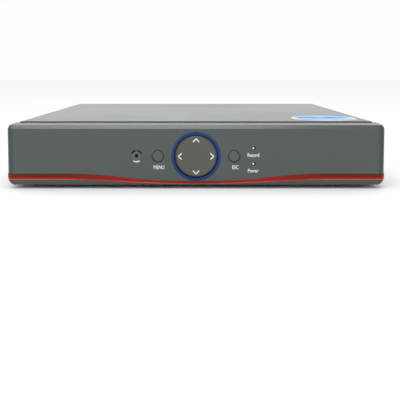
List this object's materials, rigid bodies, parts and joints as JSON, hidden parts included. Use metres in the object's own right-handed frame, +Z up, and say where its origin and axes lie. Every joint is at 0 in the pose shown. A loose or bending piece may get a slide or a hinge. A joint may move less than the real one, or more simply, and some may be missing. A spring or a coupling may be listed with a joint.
{
  "type": "dvr recorder",
  "caption": "Flat digital video recorder with a moulded front panel, round four-way key and rows of coaxial jacks and sockets across the rear.",
  "frame": {"origin": "on the ground, midway between the front of the panel and the tips of the rear jacks, on the centre line", "axes": "front faces -Y, +X to the right seen from the front, +Z up"},
  "size_m": [0.2556, 0.2434, 0.0446],
  "materials": {
    "cover_paint": "satin powder coat",
    "tray_paint": "satin powder coat",
    "rear_print": "printed sheet",
    "screw_steel": "zinc plated",
    "screw_black": "black oxide",
    "red_seal": "lacquer",
    "foot_rubber": "matt",
    "sticker_paper": "printed",
    "panel_plastic": "fine satin",
    "red_clear": "translucent",
    "blue_clear": "translucent",
    "cap_plastic": "satin",
    "inner_plastic": "as moulded",
    "key_plastic": "satin",
    "clear_pipe": "clear",
    "smoked_window": "smoked",
    "mat_rubber": "matt",
    "board_green": "solder mask",
    "chip_black": "matt",
    "lamp_clear": "translucent",
    "sink_metal": "anodised",
    "can_silver": "satin",
    "cell_steel": "satin",
    "jack_brass": "nickelled brass",
    "contact_gold": "gold flash",
    "gold_plate": "gold plated",
    "nickel_plate": "nickel plated",
    "tan_plate": "tinned",
    "jack_white": "as moulded",
    "sound_core": "as moulded",
    "block_black": "as moulded",
    "vga_blue": "as moulded",
    "hex_brass": "plated",
    "terminal_green": "as moulded",
    "inlet_grey": "as moulded",
    "drive_metal": "cast",
    "drive_lid": "brushed",
    "fan_black": "as moulded",
    "lead_sleeve": "soft"
  },
  "bodies": {
    "recorder": {"chassis_tray": "tray_paint", "rear_label": "rear_print", "top_cover": "cover_paint", "cover_screws": "screw_steel", "front_panel_screws": "screw_steel", "board_screws": "screw_steel", "drive_screws": "screw_steel", "earth_screw": "screw_black", "sealed_screw": "red_seal", "rubber_feet": "foot_rubber", "top_sticker": "sticker_paper", "front_panel": "panel_plastic", "red_accent_strip": "red_clear", "blue_ring": "blue_clear", "dpad_cradle": "inner_plastic", "record_light_pipe": "clear_pipe", "power_light_pipe": "clear_pipe", "ir_window": "smoked_window", "key_mat": "mat_rubber", "key_board": "board_green", "status_leds": "lamp_clear", "ir_receiver": "chip_black", "main_board": "board_green", "heat_sink": "sink_metal", "video_chips": "chip_black", "capacitors": "can_silver", "coin_cell": "cell_steel", "buzzer_and_holder": "chip_black", "video_jack_shells": "jack_brass", "video_out_shell": "jack_brass", "jack_insulators": "jack_white", "jack_contacts": "contact_gold", "video_jack_blocks": "block_black", "output_block": "block_black", "audio_out_shell": "gold_plate", "audio_in_shells": "nickel_plate", "audio_insulators": "sound_core", "audio_in_block": "block_black", "vga_shell": "nickel_plate", "vga_insulator": "vga_blue", "vga_jackscrews": "hex_brass", "hd_socket_shell": "nickel_plate", "hd_socket_tongue": "block_black", "network_usb_shell": "tan_plate", "network_usb_insert": "block_black", "network_leds": "lamp_clear", "terminal_block": "terminal_green", "dc_jack_body": "inlet_grey", "dc_jack_pin": "nickel_plate", "hard_drive_casting": "drive_metal", "hard_drive_lid": "drive_lid", "hard_drive_board": "board_green", "fan_frame": "fan_black", "drive_leads": "lead_sleeve", "signal_leads": "lead_sleeve"},
    "menu_button": {"menu_button": "key_plastic"},
    "esc_button": {"esc_button": "key_plastic"},
    "dpad_pivot": {"dpad_pivot": "inner_plastic"},
    "dpad": {"dpad_cap": "cap_plastic"},
    "fan_rotor": {"fan_rotor": "fan_black"}
  },
  "joints": [
    {"name": "menu_press", "type": "slide", "parent": "recorder", "child": "menu_button", "axis": [0, 1, 0], "range_m": [0, 0.0005], "stiffness_N_per_m": 400},
    {"name": "esc_press", "type": "slide", "parent": "recorder", "child": "esc_button", "axis": [0, 1, 0], "range_m": [0, 0.0005], "stiffness_N_per_m": 400},
    {"name": "dpad_tip_up_down", "type": "hinge", "parent": "recorder", "child": "dpad_pivot", "pos_m": [0, -0.11615, 0.0222], "axis": [1, 0, 0], "range_deg": [-2.5, 2.5], "stiffness_Nm_per_rad": 0.05},
    {"name": "dpad_tip_left_right", "type": "hinge", "parent": "dpad_pivot", "child": "dpad", "pos_m": [0, -0.11615, 0.0222], "axis": [0, 0, 1], "range_deg": [-2.5, 2.5], "stiffness_Nm_per_rad": 0.05},
    {"name": "fan_spin", "type": "hinge", "parent": "recorder", "child": "fan_rotor", "pos_m": [-0.1168, -0.052, 0.022], "axis": [1, 0, 0], "continuous": true}
  ]
}
